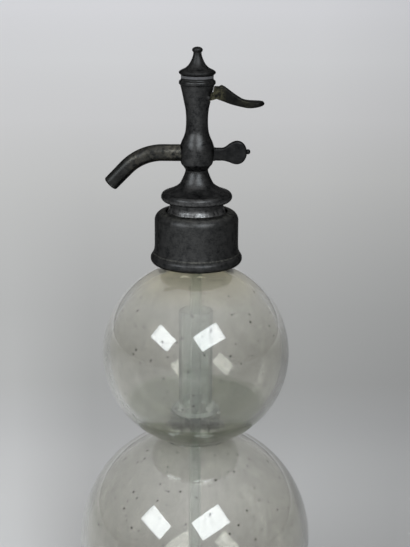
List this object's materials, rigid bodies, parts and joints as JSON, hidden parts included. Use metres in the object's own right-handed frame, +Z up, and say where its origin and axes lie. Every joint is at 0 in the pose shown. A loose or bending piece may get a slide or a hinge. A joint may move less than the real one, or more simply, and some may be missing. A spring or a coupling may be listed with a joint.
{
  "type": "soda siphon",
  "caption": "Two-globe glass soda siphon on a pedestal foot, with a pewter head: curved spout, pressed lever, finger rest and a collar nut.",
  "frame": {"origin": "on the table, on the axis of the bottle", "axes": "+Z up along the bottle's axis; the spout points along -X, the lever and the finger rest along +X"},
  "size_m": [0.1548, 0.1548, 0.4231],
  "materials": {
    "clear_glass": "blown grey-green glass, smooth, with seeds",
    "tube_glass": "drawn glass tube, smooth, bluish green",
    "dark_pewter": "dark patinated pewter, turned, satin",
    "foot_pewter": "dark patinated pewter, turned, satin",
    "brass": "turned, dull",
    "steel": "drawn wire and rod",
    "aged_rubber": "aged grey-brown rubber, matte",
    "leather": "oiled leather, dark",
    "plaster": "set plaster, matte"
  },
  "bodies": {
    "bottle": {"glass_bottle": "clear_glass", "foot": "foot_pewter", "plaster_bed": "plaster", "neck_ferrule": "dark_pewter", "neck_cement": "plaster", "collar_washer": "aged_rubber", "chimney_bung": "tube_glass", "chimney_tube": "tube_glass"},
    "head": {"head_base": "dark_pewter", "valve_seat": "brass", "head_barrel": "dark_pewter", "spout": "dark_pewter", "finger_rest": "dark_pewter", "lever_pin": "steel", "gland_packing": "leather", "gland_nut": "brass", "finial_cap": "dark_pewter", "cap_washer": "aged_rubber", "tube_socket": "brass", "tube_sleeve": "aged_rubber", "dip_tube": "tube_glass"},
    "collar": {"collar_nut": "dark_pewter"},
    "lever": {"lever": "dark_pewter"},
    "piston": {"piston_rod": "brass", "valve_pad": "aged_rubber", "valve_spring": "steel"}
  },
  "joints": [
    {"name": "head_lift", "type": "slide", "parent": "bottle", "child": "head", "axis": [0, 0, 1], "range_m": [0, 0.31]},
    {"name": "collar_nut_turn", "type": "hinge", "parent": "head", "child": "collar", "pos_m": [0, 0, 0.305], "axis": [0, 0, 1], "continuous": true},
    {"name": "lever_press", "type": "hinge", "parent": "head", "child": "lever", "pos_m": [0.0065, 0, 0.393], "axis": [0, 1, 0], "range_deg": [0, 15], "stiffness_Nm_per_rad": 0.6, "springref_deg": -5.73},
    {"name": "piston_lift", "type": "slide", "parent": "head", "child": "piston", "axis": [0, 0, 1], "range_m": [0, 0.0017], "deforming": ["valve_spring"]}
  ],
  "couplings": [
    {"joint": "piston_lift", "follows": "lever_press", "m_per_rad": 0.0062}
  ]
}
